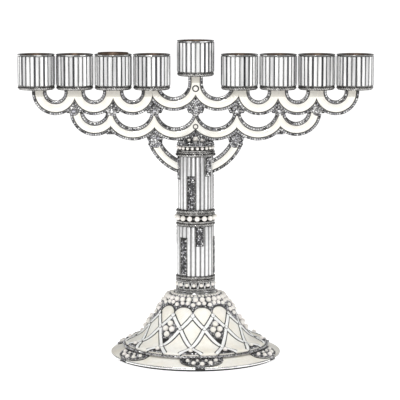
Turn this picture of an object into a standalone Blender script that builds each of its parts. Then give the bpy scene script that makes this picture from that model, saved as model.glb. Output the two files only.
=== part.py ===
"""Nine-light jewelled menorah: a bell base, a two-drum column, three tiers of swags and nine candle cups.

Metres, +Z up. The front faces -Y, the cups stand in a row along X, and the felt pad lies on Z = 0.
"""

import math

import bmesh
import bpy

MM = 0.001
GAP = 0.3  # clearance left between two pieces that touch, mm

# Candle cups, mm
CUP_OFFSETS = (32.9, 61.9, 90.8, 119.7)  # cup axes either side of the centre
OUTER_CUP_Z = 202.5  # underside of the eight side cups
SHAMASH_Z = 212.8  # underside of the raised centre cup
CUP_HEIGHT = 26.8
CUP_FOOT_R = 14.05
CUP_FOOT_H = 3.1
CUP_RIM_R = 14.2
CUP_RIM_H = 2.2
CUP_WALL_R = 12.5
CUP_BORE_R = 11.95
CUP_FLOOR = 2.2
CUP_SEGMENTS = 24
CRYSTAL_COUNT = 24
CRYSTAL_R_BOTTOM = 13.5
CRYSTAL_R_TOP = 14.1
CRYSTAL_GROOVE = 0.3
LINER_OUTER_R = 11.6
LINER_BORE_R = 11.15  # holds a 22 mm taper candle
LINER_FLOOR = 0.8
LINER_HEIGHT = 24.2
PROUD_LINER = "3"  # the one liner that is not pushed home
PROUD_HEIGHT = 1.2

# Tier plates, mm
PLATE_HALF = 3.8  # half thickness along Y
LEG_TOP_Z = OUTER_CUP_Z - GAP
NECK_TOP_Z = SHAMASH_Z - GAP
NECK_HALF = 5.55
STONE_Z = 186.8
STONE_R = 4.0
STONE_X = (0.0, 30.95, 62.9, 91.4)
CLUSTER_X = 30.4
CLUSTER_Z = 165.6
SMALL_SWAG = {"z": 201.0, "opening": 6.8, "outer": 17.6}
NECK_SWAG = {"x": 16.45, "z": 207.6, "opening": 10.9, "outer": 21.0}
MIDDLE_SWAGS = (
    {"x": 15.45, "z": 187.4, "opening": 13.5, "outer": 23.1},
    {"x": 47.0, "z": 187.4, "opening": 13.5, "outer": 23.1},
    {"x": 75.8, "z": 186.6, "opening": 8.6, "outer": 18.9},
)
ARM_CENTRE_Z = 175.8
ARM_INNER_R = 28.8
ARM_OUTER_R = 38.4

# Column, mm
ROD_R = 2.4
ROD_BORE = 2.8
CAPITAL_TOP = 163.9
CAPITAL_BOTTOM = 153.0
UPPER_DRUM_TOP = 152.7
UPPER_DRUM_BOTTOM = 112.6
UPPER_DRUM_R = 13.5
MIDDLE_COLLAR_TOP = 112.3
MIDDLE_COLLAR_BOTTOM = 100.2
LOWER_DRUM_TOP = 99.9
LOWER_DRUM_BOTTOM = 62.3
LOWER_DRUM_R = 14.5
LOWER_COLLAR_TOP = 62.0
LOWER_COLLAR_BOTTOM = 48.3
DRUM_BORE = 9.5
DRUM_RIBS = 24
RIB_DEPTH = 0.5

# Base, mm
PAD_R = 62.0
PAD_THICK = 1.2
PLATE_R = 65.4
DOME_OUTER = (
    (15.6, 48.0),
    (19.6, 46.4),
    (23.4, 43.0),
    (28.1, 36.7),
    (32.0, 30.0),
    (35.8, 24.0),
    (40.6, 17.4),
    (45.4, 13.9),
    (51.4, 12.0),
    (53.6, 10.6),
)
DOME_WALL = 2.6
FOOT_RING_R = 55.2
LOBE_R = 62.6
LOBE_COUNT = 6
LOBE_PHASE = 4.0  # degrees, the first lobe measured from the front towards +X
LOBE_HALF_ANGLE = 17.0

PEWTER = ("pewter", (0.62, 0.61, 0.58, 1.0), 0.35, 1.0)
ENAMEL = ("cream_enamel", (0.9, 0.86, 0.76, 1.0), 0.25, 0.0)
SILVERED = ("silvered_rib", (0.82, 0.82, 0.8, 1.0), 0.3, 1.0)
CRYSTAL = ("clear_crystal", (0.92, 0.94, 0.95, 1.0), 0.05, 0.0)
PEARL = ("white_pearl", (0.95, 0.93, 0.88, 1.0), 0.2, 0.0)
BRASS = ("brass", (0.6, 0.45, 0.22, 1.0), 0.35, 1.0)
STEEL = ("zinc_steel", (0.55, 0.55, 0.56, 1.0), 0.4, 1.0)
FELT = ("black_felt", (0.03, 0.03, 0.03, 1.0), 0.95, 0.0)


def clear_scene():
    for old in list(bpy.data.objects):
        bpy.data.objects.remove(old, do_unlink=True)


def material(spec):
    """The Principled material of one finish."""
    name, colour, roughness, metallic = spec
    found = bpy.data.materials.get(name)
    if found:
        return found
    made = bpy.data.materials.new(name)
    made.use_nodes = True
    made.diffuse_color = colour
    shader = made.node_tree.nodes["Principled BSDF"]
    shader.inputs["Base Color"].default_value = colour
    shader.inputs["Roughness"].default_value = roughness
    shader.inputs["Metallic"].default_value = metallic
    return made


def add_object(name, bm, finish, at=(0.0, 0.0, 0.0), smooth=True):
    """Puts a bmesh, built in millimetres, into the scene as one named object in metres."""
    bmesh.ops.recalc_face_normals(bm, faces=bm.faces)
    bmesh.ops.scale(bm, vec=(MM, MM, MM), verts=bm.verts)
    mesh = bpy.data.meshes.new(name)
    bm.to_mesh(mesh)
    bm.free()
    mesh.materials.append(material(finish))
    made = bpy.data.objects.new(name, mesh)
    made.location = [v * MM for v in at]
    bpy.context.scene.collection.objects.link(made)
    if smooth:
        mesh.shade_smooth()
        mesh.set_sharp_from_angle(angle=math.radians(35))
    return made


def ring_body(sections):
    """A closed band: each section is a loop of points, joined to the next and the last to the first."""
    bm = bmesh.new()
    loops = [[bm.verts.new(p) for p in section] for section in sections]
    for i, loop in enumerate(loops):
        after = loops[(i + 1) % len(loops)]
        for j in range(len(loop)):
            k = (j + 1) % len(loop)
            bm.faces.new((loop[j], loop[k], after[k], after[j]))
    return bm


def around(profile, angle):
    """The (radius, height) points of a profile at one angle, measured from the front towards +X."""
    s, c = math.sin(angle), math.cos(angle)
    return [(r * s, -r * c, z) for r, z in profile]


def revolved_ring(profile, segments):
    step = 2 * math.pi / segments
    return ring_body([around(profile, (i + 0.5) * step) for i in range(segments)])


def revolved_solid(profile, segments):
    """A body of revolution whose profile starts and ends on the axis."""
    bm = bmesh.new()
    first = bm.verts.new((0.0, 0.0, profile[0][1]))
    last = bm.verts.new((0.0, 0.0, profile[-1][1]))
    step = 2 * math.pi / segments
    rings = [
        [bm.verts.new(around([p], (i + 0.5) * step)[0]) for i in range(segments)]
        for p in profile[1:-1]
    ]
    for i in range(segments):
        k = (i + 1) % segments
        bm.faces.new((first, rings[0][i], rings[0][k]))
        bm.faces.new((last, rings[-1][k], rings[-1][i]))
        for low, high in zip(rings, rings[1:]):
            bm.faces.new((low[i], high[i], high[k], low[k]))
    return bm


def plate_body(outline, half):
    """A closed outline of (x, z) points given a thickness along Y."""
    bm = bmesh.new()
    front = [bm.verts.new((x, -half, z)) for x, z in outline]
    back = [bm.verts.new((x, half, z)) for x, z in outline]
    bm.faces.new(front)
    bm.faces.new(list(reversed(back)))
    for i in range(len(outline)):
        k = (i + 1) % len(outline)
        bm.faces.new((front[k], front[i], back[i], back[k]))
    return bm


def low_arc(x0, z0, radius, x_from, x_to, count):
    """Points on the lower half of a circle from one x to another, evenly spaced in angle."""
    a = math.acos(max(-1.0, min(1.0, (x_from - x0) / radius)))
    b = math.acos(max(-1.0, min(1.0, (x_to - x0) / radius)))
    return [
        (
            x0 + radius * math.cos(a + (b - a) * i / count),
            z0 - radius * math.sin(a + (b - a) * i / count),
        )
        for i in range(count + 1)
    ]


def reach(radius, drop):
    return math.sqrt(radius * radius - drop * drop)


def mirrored(points):
    """A right-hand run of points preceded by its mirror image, left to right."""
    return [(-x, z) for x, z in reversed(points) if x > 1e-6] + points


# Candle cups


def cup_shell(label, at):
    """Cast cup: foot flange, thin wall behind the crystals, floor and rim flange."""
    top = CUP_HEIGHT
    profile = [
        (0.0, 0.0),
        (CUP_FOOT_R - 0.6, 0.0),
        (CUP_FOOT_R, 0.8),
        (CUP_FOOT_R, CUP_FOOT_H),
        (CUP_WALL_R, CUP_FOOT_H),
        (CUP_WALL_R, top - CUP_RIM_H),
        (CUP_RIM_R, top - CUP_RIM_H),
        (CUP_RIM_R, top - 0.4),
        (CUP_RIM_R - 0.5, top),
        (CUP_BORE_R, top),
        (CUP_BORE_R, CUP_FLOOR),
        (0.0, CUP_FLOOR),
    ]
    return add_object(f"cup_{label}_shell", revolved_solid(profile, CUP_SEGMENTS), PEWTER, at)


def cup_crystals(label, at):
    """Row of upright baguette crystals set edge to edge round the cup, grooves between them."""
    bottom = CUP_FOOT_H + GAP
    top = CUP_HEIGHT - CUP_RIM_H - GAP
    inner = CUP_WALL_R + GAP
    step = 2 * math.pi / CRYSTAL_COUNT
    flat = [(inner, bottom), (CRYSTAL_R_BOTTOM, bottom), (CRYSTAL_R_TOP, top), (inner, top)]
    groove = [
        (inner, bottom),
        (CRYSTAL_R_BOTTOM - CRYSTAL_GROOVE, bottom),
        (CRYSTAL_R_TOP - CRYSTAL_GROOVE, top),
        (inner, top),
    ]
    sections = []
    for i in range(CRYSTAL_COUNT):
        sections.append(around(groove, i * step))
        sections.append(around(flat, (i + 0.5) * step))
    return add_object(f"cup_{label}_crystals", ring_body(sections), CRYSTAL, at, smooth=False)


def cup_liner(label, at):
    """Loose brass cup that lifts out of the shell for cleaning."""
    low = CUP_FLOOR + GAP
    high = low + LINER_HEIGHT
    profile = [
        (0.0, 0.0),
        (LINER_OUTER_R, 0.0),
        (LINER_OUTER_R, high - low),
        (LINER_BORE_R, high - low),
        (LINER_BORE_R, LINER_FLOOR),
        (0.0, LINER_FLOOR),
    ]
    lift = PROUD_HEIGHT if label == PROUD_LINER else 0.0
    place = (at[0], at[1], at[2] + low + lift)
    return add_object(f"cup_{label}_liner", revolved_solid(profile, CUP_SEGMENTS), BRASS, place)


def candle_cups():
    places = [("shamash", (0.0, 0.0, SHAMASH_Z))]
    row = [-x for x in reversed(CUP_OFFSETS)] + list(CUP_OFFSETS)
    places += [(str(i + 1), (x, 0.0, OUTER_CUP_Z)) for i, x in enumerate(row)]
    for label, at in places:
        cup_shell(label, at)
        cup_crystals(label, at)
        cup_liner(label, at)


# Tiers of swags


def stone_notch(x, outline_z, upper):
    """The run of a plate's edge round a junction stone: over its top, or under it."""
    radius = STONE_R + GAP
    sign = 1 if upper else -1
    points = []
    for i in range(9):
        dx = radius * math.cos(math.pi - math.pi * i / 8)
        z = STONE_Z + sign * reach(radius, dx) if abs(dx) < radius else STONE_Z
        z = max(z, outline_z) if upper else min(z, outline_z)
        points.append((x + dx, z))
    return points


def top_tier_lower_edge():
    """Right half of the lower edge, from the centre stone out to the last swag's end."""
    notch_half = STONE_R + GAP
    edge = [p for p in stone_notch(0.0, 190.4, True) if p[0] >= 0]
    swag = NECK_SWAG
    edge += low_arc(swag["x"], swag["z"], swag["outer"], notch_half + 0.6, STONE_X[1] - 4.9, 12)
    edge += stone_notch(STONE_X[1], 187.0, True)
    stones = list(STONE_X[1:]) + [None]
    for i in range(3):
        x0 = (CUP_OFFSETS[i] + CUP_OFFSETS[i + 1]) / 2
        start = stones[i] + 4.9
        end = stones[i + 1] - 4.9 if stones[i + 1] else x0 + SMALL_SWAG["outer"]
        edge += low_arc(x0, SMALL_SWAG["z"], SMALL_SWAG["outer"], start, end, 10)
        if stones[i + 1]:
            edge += stone_notch(stones[i + 1], 187.0, True)
    return edge


def top_tier_upper_edge():
    """Right half of the upper edge: neck of the centre cup, legs of the side cups, openings between."""
    swag = NECK_SWAG
    drop = reach(swag["opening"], swag["z"] - LEG_TOP_Z)
    edge = [(NECK_HALF, NECK_TOP_Z)]
    edge += low_arc(
        swag["x"], swag["z"], swag["opening"], NECK_HALF + 0.02, swag["x"] + drop, 14
    )
    for i in range(3):
        x0 = (CUP_OFFSETS[i] + CUP_OFFSETS[i + 1]) / 2
        half = SMALL_SWAG["opening"] - 0.02
        edge.append((x0 - half, LEG_TOP_Z))
        edge += low_arc(x0, SMALL_SWAG["z"], SMALL_SWAG["opening"], x0 - half, x0 + half, 10)
        edge.append((x0 + half, LEG_TOP_Z))
    x0 = (CUP_OFFSETS[2] + CUP_OFFSETS[3]) / 2
    edge.append((x0 + SMALL_SWAG["outer"], LEG_TOP_Z))
    return edge


def tier_top():
    """Cast plate of eight swags that carries all nine cups."""
    outline = mirrored(top_tier_lower_edge())
    outline += list(reversed(mirrored(top_tier_upper_edge())))
    return add_object("tier_top", plate_body(outline, PLATE_HALF), ENAMEL, smooth=False)


def middle_tier_lower_edge():
    inner, second, last = MIDDLE_SWAGS
    floor_z = CAPITAL_TOP + GAP + 0.1
    start = inner["x"] - reach(inner["outer"], inner["z"] - floor_z)
    edge = [(start, floor_z)]
    edge += low_arc(inner["x"], inner["z"], inner["outer"], start, CLUSTER_X - 4.9, 8)[1:]
    cluster_top = CLUSTER_Z + STONE_R + GAP
    edge += [(CLUSTER_X - 3.2, cluster_top), (CLUSTER_X + 3.2, cluster_top)]
    edge += low_arc(second["x"], second["z"], second["outer"], CLUSTER_X + 4.9, 61.6, 10)
    edge += low_arc(last["x"], last["z"], last["outer"], 64.6, STONE_X[3] + 2.6, 10)
    return edge


def under_stones(x, highest):
    """The height, at most highest, that stays clear below the settings of the junction stones."""
    radius = STONE_R + GAP
    for stone in STONE_X:
        if abs(x - stone) < radius:
            highest = min(highest, STONE_Z - reach(radius, x - stone))
    return highest


def middle_tier_upper_edge():
    """Right half of the upper edge: half-rings under the stones, openings between them."""
    leg_top = 184.4
    edge = [(0.0, under_stones(0.0, leg_top))]
    for i, swag in enumerate(MIDDLE_SWAGS):
        half = reach(swag["opening"], swag["z"] - leg_top)
        run = low_arc(swag["x"], swag["z"], swag["opening"], swag["x"] - half, swag["x"] + half, 16)
        edge += [(x, under_stones(x, z)) for x, z in run]
        stone = STONE_X[i + 1]
        end = stone + 2.6
        if i < 2:
            following = MIDDLE_SWAGS[i + 1]
            end = following["x"] - reach(following["opening"], following["z"] - leg_top) - 0.2
        steps = [stone + 1.3 * k for k in range(-4, 3)]
        edge += [(x, under_stones(x, leg_top)) for x in steps if edge[-1][0] + 0.2 < x <= end]
    return edge


def tier_middle():
    """Cast plate of six swags hanging between the junction stones."""
    outline = mirrored(middle_tier_lower_edge())
    outline += list(reversed(mirrored(middle_tier_upper_edge())))
    return add_object("tier_middle", plate_body(outline, PLATE_HALF), ENAMEL, smooth=False)


def lower_arm(side):
    """Quarter-ring arm that runs from a cluster down into the side of the column."""
    face = UPPER_DRUM_R + GAP + 0.1
    top = CLUSTER_Z - STONE_R - GAP
    drop = ARM_CENTRE_Z - top
    outer = low_arc(0.0, ARM_CENTRE_Z, ARM_OUTER_R, reach(ARM_OUTER_R, drop), face, 9)
    inner = low_arc(0.0, ARM_CENTRE_Z, ARM_INNER_R, face, reach(ARM_INNER_R, drop), 8)
    outline = [(side * x, z) for x, z in outer + inner]
    name = "arm_right" if side > 0 else "arm_left"
    return add_object(name, plate_body(outline, PLATE_HALF - 0.4), ENAMEL, smooth=False)


def stone_setting(name, x, z):
    """Round crystal in a collet, through the full thickness of the plate, table facets at both ends."""
    profile = [
        (0.0, -6.0),
        (2.0, -6.0),
        (3.3, -5.1),
        (STONE_R, -4.3),
        (STONE_R, 4.3),
        (3.3, 5.1),
        (2.0, 6.0),
        (0.0, 6.0),
    ]
    bm = revolved_solid(profile, 12)
    for v in bm.verts:
        v.co = (v.co.x, v.co.z, v.co.y)
    return add_object(name, bm, CRYSTAL, (x, 0.0, z), smooth=False)


def settings():
    row = [-x for x in reversed(STONE_X[1:])] + list(STONE_X)
    for i, x in enumerate(row):
        stone_setting(f"junction_stone_{i + 1}", x, STONE_Z)
    stone_setting("lower_cluster_left", -CLUSTER_X, CLUSTER_Z)
    stone_setting("lower_cluster_right", CLUSTER_X, CLUSTER_Z)


# Column


def beaded_ring(name, radius, z, bead, count, phase=0.0):
    """A strand of pearls joined into one ring: a round bar that swells at each pearl."""
    step = 2 * math.pi / count
    sections = []
    for i in range(count):
        for part, size in ((0.0, 1.0), (0.36, 0.66), (0.64, 0.66)):
            angle = phase + (i + part) * step
            r = bead * size
            points = [
                (radius + r * math.cos(k * math.pi / 3), z + r * math.sin(k * math.pi / 3))
                for k in range(6)
            ]
            sections.append(around(points, angle))
    return add_object(name, ring_body(sections), PEARL)


def ribbed_drum(name, radius, bottom, top):
    """Hollow drum with upright half-round ribs, plain bands at both ends."""
    step = 2 * math.pi / DRUM_RIBS
    sections = []
    for i in range(DRUM_RIBS):
        for part, depth in ((0.0, RIB_DEPTH), (0.5, 0.0)):
            r = radius - depth
            profile = [
                (DRUM_BORE, bottom),
                (r, bottom),
                (r, top),
                (DRUM_BORE, top),
            ]
            sections.append(around(profile, (i + part) * step))
    return add_object(name, ring_body(sections), SILVERED)


def collar(name, bottom, top, edge_r, waist_r, band, finish=PEWTER):
    """Disc with a raised rope band at each edge and a waist between that holds the pearls."""
    profile = [
        (ROD_BORE, bottom),
        (edge_r - 0.8, bottom),
        (edge_r, bottom + band * 0.5),
        (edge_r - 0.5, bottom + band),
        (waist_r, bottom + band + 0.3),
        (waist_r, top - band - 0.3),
        (edge_r - 0.5, top - band),
        (edge_r, top - band * 0.5),
        (edge_r - 0.8, top),
        (ROD_BORE, top),
    ]
    return add_object(name, revolved_ring(profile, 36), finish)


def capital():
    """Flared head of the column: flat seat for the tiers, waist with a strand of pearls, lower rings."""
    top, bottom = CAPITAL_TOP, CAPITAL_BOTTOM
    profile = [
        (ROD_BORE, bottom),
        (14.6, bottom),
        (15.2, bottom + 1.0),
        (14.6, bottom + 2.0),
        (14.6, bottom + 2.4),
        (15.2, bottom + 3.4),
        (11.4, bottom + 3.9),
        (11.4, top - 3.0),
        (14.4, top - 2.6),
        (14.4, top),
        (4.4, top),
        (4.4, top - 2.6),
        (ROD_BORE, top - 2.6),
    ]
    return add_object("capital", revolved_ring(profile, 36), PEWTER)


def tie_rod():
    """Threaded rod from the nut under the dome up to the capital, where its slotted head is sunk."""
    profile = [
        (0.0, 31.0),
        (ROD_R, 31.0),
        (ROD_R, CAPITAL_TOP - 2.3),
        (4.0, CAPITAL_TOP - 2.3),
        (4.0, CAPITAL_TOP - 0.5),
        (0.0, CAPITAL_TOP - 0.5),
    ]
    return add_object("tie_rod", revolved_solid(profile, 16), STEEL)


def column():
    capital()
    beaded_ring("capital_pearls", 13.6, CAPITAL_BOTTOM + 5.85, 1.6, 22)
    ribbed_drum("upper_drum", UPPER_DRUM_R, UPPER_DRUM_BOTTOM, UPPER_DRUM_TOP)
    collar("middle_collar", MIDDLE_COLLAR_BOTTOM, MIDDLE_COLLAR_TOP, 15.0, 11.6, 2.4)
    middle_z = (MIDDLE_COLLAR_BOTTOM + MIDDLE_COLLAR_TOP) / 2
    beaded_ring("middle_pearls", 14.2, middle_z, 2.1, 16)
    ribbed_drum("lower_drum", LOWER_DRUM_R, LOWER_DRUM_BOTTOM, LOWER_DRUM_TOP)
    collar("lower_collar", LOWER_COLLAR_BOTTOM, LOWER_COLLAR_TOP, 15.6, 12.4, 4.0)
    lower_z = (LOWER_COLLAR_BOTTOM + LOWER_COLLAR_TOP) / 2
    beaded_ring("lower_pearls", 14.6, lower_z, 1.7, 18)
    tie_rod()


# Base


def base_dome():
    """Hollow bell of the base, open underneath, with a boss round the tie rod."""
    inner = [(r - DOME_WALL * 0.8, z - DOME_WALL * 0.75) for r, z in DOME_OUTER[2:-1]]
    foot = 8.3
    profile = [(ROD_BORE, 48.0)] + list(DOME_OUTER)
    profile += [(53.6, foot), (51.0, foot)]
    profile += list(reversed(inner))
    profile += [(16.0, 42.6), (ROD_BORE, 42.6)]
    return add_object("base_dome", revolved_ring(profile, 40), ENAMEL)


def base_plate():
    """Sloping foot ring with a rolled edge and a raised seat for the dome."""
    low = PAD_THICK + GAP
    profile = [
        (46.0, low),
        (PLATE_R - 1.0, low),
        (PLATE_R, low + 0.8),
        (PLATE_R - 0.4, low + 1.7),
        (PLATE_R - 2.4, low + 2.3),
        (60.0, 4.9),
        (56.0, 6.6),
        (53.6, 8.0),
        (46.0, 8.0),
    ]
    return add_object("base_plate", revolved_ring(profile, 40), PEWTER)


def medallion_ring():
    """Rope ring round the foot of the dome, spread into six half-moon medallions over the plate."""
    count = 72
    half = math.radians(LOBE_HALF_ANGLE)
    period = 2 * math.pi / LOBE_COUNT
    sections = []
    for i in range(count):
        angle = i * 2 * math.pi / count
        off = (angle - math.radians(LOBE_PHASE) + period / 2) % period - period / 2
        share = max(0.0, 1 - (off / half) ** 2) ** 0.5 if abs(off) < half else 0.0
        out = FOOT_RING_R + (LOBE_R - FOOT_RING_R) * share
        slope = (out - 53.9) * 0.44
        profile = [
            (53.9, 8.3),
            (53.9, 10.4),
            (54.9, 10.2),
            (out - 0.3, 10.2 - slope),
            (out, 8.9 - slope),
        ]
        sections.append(around(profile, angle))
    return add_object("medallion_ring", ring_body(sections), PEWTER)


def felt_pad():
    profile = [(0.0, 0.0), (PAD_R, 0.0), (PAD_R, PAD_THICK), (0.0, PAD_THICK)]
    return add_object("felt_pad", revolved_solid(profile, 40), FELT)


def fixings():
    """Washer and hexagon nut that pull the column down on the dome from inside."""
    washer = [(ROD_BORE, 41.3), (9.0, 41.3), (9.0, 42.3), (ROD_BORE, 42.3)]
    add_object("washer", revolved_ring(washer, 20), STEEL)
    nut = [(ROD_BORE, 36.4), (4.6, 36.4), (4.6, 41.0), (ROD_BORE, 41.0)]
    add_object("nut", revolved_ring(nut, 6), STEEL, smooth=False)


def base():
    felt_pad()
    base_plate()
    base_dome()
    medallion_ring()
    beaded_ring("dome_pearls", 21.3, 47.2, 1.3, 26)
    fixings()


def main():
    clear_scene()
    base()
    column()
    tier_top()
    tier_middle()
    lower_arm(-1)
    lower_arm(1)
    settings()
    candle_cups()


main()
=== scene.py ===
"""Looks of the nine-light jewelled menorah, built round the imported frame.

Lengths are in millimetres until a piece is made, and the front faces -Y.
"""

import math
import random

import bpy
import numpy as np
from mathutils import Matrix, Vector


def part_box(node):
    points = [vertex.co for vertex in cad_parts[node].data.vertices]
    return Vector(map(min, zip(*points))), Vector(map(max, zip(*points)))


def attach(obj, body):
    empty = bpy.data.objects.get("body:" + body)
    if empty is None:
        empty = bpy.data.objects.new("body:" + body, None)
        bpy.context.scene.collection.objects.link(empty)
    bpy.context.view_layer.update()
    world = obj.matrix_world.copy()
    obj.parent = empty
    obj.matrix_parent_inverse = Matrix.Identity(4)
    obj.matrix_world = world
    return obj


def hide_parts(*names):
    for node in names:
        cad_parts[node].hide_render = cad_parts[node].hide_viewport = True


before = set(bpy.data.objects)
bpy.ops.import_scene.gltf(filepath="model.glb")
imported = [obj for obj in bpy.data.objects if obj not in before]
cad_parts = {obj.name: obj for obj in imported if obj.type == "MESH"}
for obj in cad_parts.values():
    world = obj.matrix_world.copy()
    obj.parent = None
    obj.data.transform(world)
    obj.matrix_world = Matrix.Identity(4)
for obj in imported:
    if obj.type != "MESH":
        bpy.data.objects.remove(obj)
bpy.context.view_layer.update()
random.seed(7)

CUPS = {
    "1": (-119.7, 202.5),
    "2": (-90.8, 202.5),
    "3": (-61.9, 202.5),
    "4": (-32.9, 202.5),
    "shamash": (0.0, 212.8),
    "5": (32.9, 202.5),
    "6": (61.9, 202.5),
    "7": (90.8, 202.5),
    "8": (119.7, 202.5),
}
STONE_X = (-91.4, -62.9, -30.95, 0.0, 30.95, 62.9, 91.4)
STONE_Z = 186.8
PLATE = 3.7  # half thickness of the tiers
DOME = (
    (15.6, 48.0), (19.6, 46.4), (23.4, 43.0), (28.1, 36.7), (32.0, 30.0), (35.8, 24.0),
    (40.6, 17.4), (45.4, 13.9), (51.4, 12.0), (53.6, 10.6),
)
SHARP_ANGLE = math.radians(38)
CUP_BARS = 24  # baguette crystals round a cup
BAR_HEIGHT = 22.1
BAR_BACK = 12.82  # radius of the bars' backs
DRUM_RIBS = 24
PAVE_PITCH = 1.5
BORDER_PITCH = 1.75  # between the stones in the borders of the swags
BORDER_DEPTH = 1.02  # of those stones from the edge of a swag
PAINTED_SHADOW_DROP = 4.7  # how far down the top tier the painted shadow under the cups reaches
MM = 1000  # in a metre
CAMERA_DIP = 7.63  # degrees the camera looks down


# ---------------- materials


def new_material(name):
    made = bpy.data.materials.new(name)
    made.use_nodes = True
    tree = made.node_tree
    return made, tree, tree.nodes["Principled BSDF"]


def add_object(name, data):
    made = bpy.data.objects.new(name, data)
    bpy.context.scene.collection.objects.link(made)
    return made


def tune(node, **values):
    """Sets plain values on a node's own sockets; coat_weight stands for Coat Weight."""
    for key, value in values.items():
        node.inputs[key.replace("_", " ").title()].default_value = value


def noise(tree, scale, detail=3.0, stretch=(1, 1, 1), source="Object"):
    coords = tree.nodes.new("ShaderNodeTexCoord")
    mapping = tree.nodes.new("ShaderNodeMapping")
    made = tree.nodes.new("ShaderNodeTexNoise")
    tune(mapping, scale=stretch)
    tune(made, scale=scale, detail=detail)
    tree.links.new(coords.outputs[source], mapping.inputs["Vector"])
    tree.links.new(mapping.outputs["Vector"], made.inputs["Vector"])
    return made.outputs["Fac"]


def attribute(tree, name):
    made = tree.nodes.new("ShaderNodeAttribute")
    made.attribute_name = name
    return made.outputs["Fac"]


def ramp(tree, source, stops):
    made = tree.nodes.new("ShaderNodeValToRGB")
    band = made.color_ramp
    while len(band.elements) < len(stops):
        band.elements.new(0.5)
    for element, (place, colour) in zip(band.elements, stops):
        element.position = place
        element.color = (*colour, 1.0)
    tree.links.new(source, made.inputs["Fac"])
    return made.outputs["Color"]


def mix(tree, factor, a, b, kind="MIX"):
    made = tree.nodes.new("ShaderNodeMix")
    made.data_type = "RGBA"
    made.blend_type = kind
    if isinstance(factor, float):
        made.inputs["Factor"].default_value = factor
    else:
        tree.links.new(factor, made.inputs["Factor"])
    for socket, value in ((made.inputs["A"], a), (made.inputs["B"], b)):
        if isinstance(value, tuple):
            socket.default_value = (*value, 1.0)
        else:
            tree.links.new(value, socket)
    return made.outputs["Result"]


def times(tree, a, b):
    return mix(tree, 1.0, a, b, "MULTIPLY")


def grey(level):
    return (level, level, level)


def bump(tree, shader, height, strength, distance):
    made = tree.nodes.new("ShaderNodeBump")
    tune(made, strength=strength, distance=distance)
    tree.links.new(height, made.inputs["Height"])
    tree.links.new(made.outputs["Normal"], shader.inputs["Normal"])


def silver(name, bright, dark, rough, metallic, worn):
    """Silver plate, darkened where the mesh attribute says: oxide where it is sunk, painted shadow
    under the cups on the top tier, and painted dark reflection round the cup rims, left bright at a
    few spots as painted glints.
    """
    made, tree, shader = new_material(name)
    patina = ramp(tree, noise(tree, 420), ((0.38, grey(worn)), (0.6, grey(1.0))))
    base = mix(tree, attribute(tree, "dark"), bright, dark)
    tree.links.new(times(tree, base, patina), shader.inputs["Base Color"])
    spread = ramp(tree, noise(tree, 900), ((0.3, grey(rough[0])), (0.7, grey(rough[1]))))
    tree.links.new(spread, shader.inputs["Roughness"])
    tune(shader, metallic=metallic)
    bump(tree, shader, noise(tree, 1400), 0.12, 0.0002)
    return made


def enamel(name, pale, warm, rough=0.3, coat=0.7):
    """Cream enamel under a clear glaze, mottled, with a faint engraved hatch showing through."""
    made, tree, shader = new_material(name)
    cloud = ramp(tree, noise(tree, 75, 4.0), ((0.36, pale), (0.66, warm)))
    fleck = noise(tree, 420, 2.0, (1, 1, 0.35))
    fleck = ramp(tree, fleck, ((0.3, grey(0.95)), (0.6, grey(1.0))))
    coords = tree.nodes.new("ShaderNodeTexCoord")
    hatch = tree.nodes.new("ShaderNodeTexWave")
    hatch.bands_direction = "DIAGONAL"
    tune(hatch, scale=330, distortion=1.2)
    tree.links.new(coords.outputs["Object"], hatch.inputs["Vector"])
    lines = ramp(tree, hatch.outputs["Fac"], ((0.2, (0.93, 0.925, 0.91)), (0.6, grey(1.0))))
    colour = times(tree, times(tree, cloud, fleck), lines)
    # The point attribute dark mixes in a brown-grey: a little where the enamel dips into the
    # grooves at its edges, and as painted shadow under the cups on the top tier.
    shade = mix(tree, attribute(tree, "dark"), colour, (0.30, 0.27, 0.22))
    tree.links.new(shade, shader.inputs["Base Color"])
    tune(shader, roughness=rough, coat_weight=coat, coat_roughness=0.07)
    bump(tree, shader, noise(tree, 700), 0.08, 0.0002)
    return made


def crystal(name, low, high, metallic):
    """Foil-backed crystal: the mesh attribute gives each stone its own tone."""
    made, tree, shader = new_material(name)
    tone = ramp(tree, attribute(tree, "tone"), ((0.0, low), (1.0, high)))
    streak = noise(tree, 330, 2.0, (1, 1, 0.12))
    streak = ramp(tree, streak, ((0.36, grey(0.78)), (0.58, grey(1.0))))
    tree.links.new(times(tree, tone, streak), shader.inputs["Base Color"])
    tune(shader, metallic=metallic, roughness=0.12, coat_weight=0.6, coat_roughness=0.03)
    return made


def pearl_finish():
    made, tree, shader = new_material("pearl")
    blush = ((0.35, (0.86, 0.835, 0.77)), (0.65, (0.91, 0.86, 0.825)))
    tree.links.new(ramp(tree, noise(tree, 160), blush), shader.inputs["Base Color"])
    tune(shader, roughness=0.24, coat_weight=0.5, coat_roughness=0.12, sheen_weight=0.15)
    return made


def plain_metal(name, colour, tarnish, scale, rough):
    made, tree, shader = new_material(name)
    tint = ramp(tree, noise(tree, scale, 5.0), ((0.35, tarnish), (0.62, colour)))
    tree.links.new(tint, shader.inputs["Base Color"])
    spread = ramp(tree, noise(tree, scale * 4), ((0.3, grey(rough)), (0.7, grey(rough + 0.2))))
    tree.links.new(spread, shader.inputs["Roughness"])
    tune(shader, metallic=1.0)
    return made


def felt_finish():
    made, tree, shader = new_material("felt")
    fibre = noise(tree, 2600, 4.0)
    colour = ramp(tree, fibre, ((0.3, grey(0.012)), (0.7, grey(0.05))))
    tree.links.new(colour, shader.inputs["Base Color"])
    tune(shader, roughness=1.0, sheen_weight=0.4)
    bump(tree, shader, fibre, 0.6, 0.0004)
    return made


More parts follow.
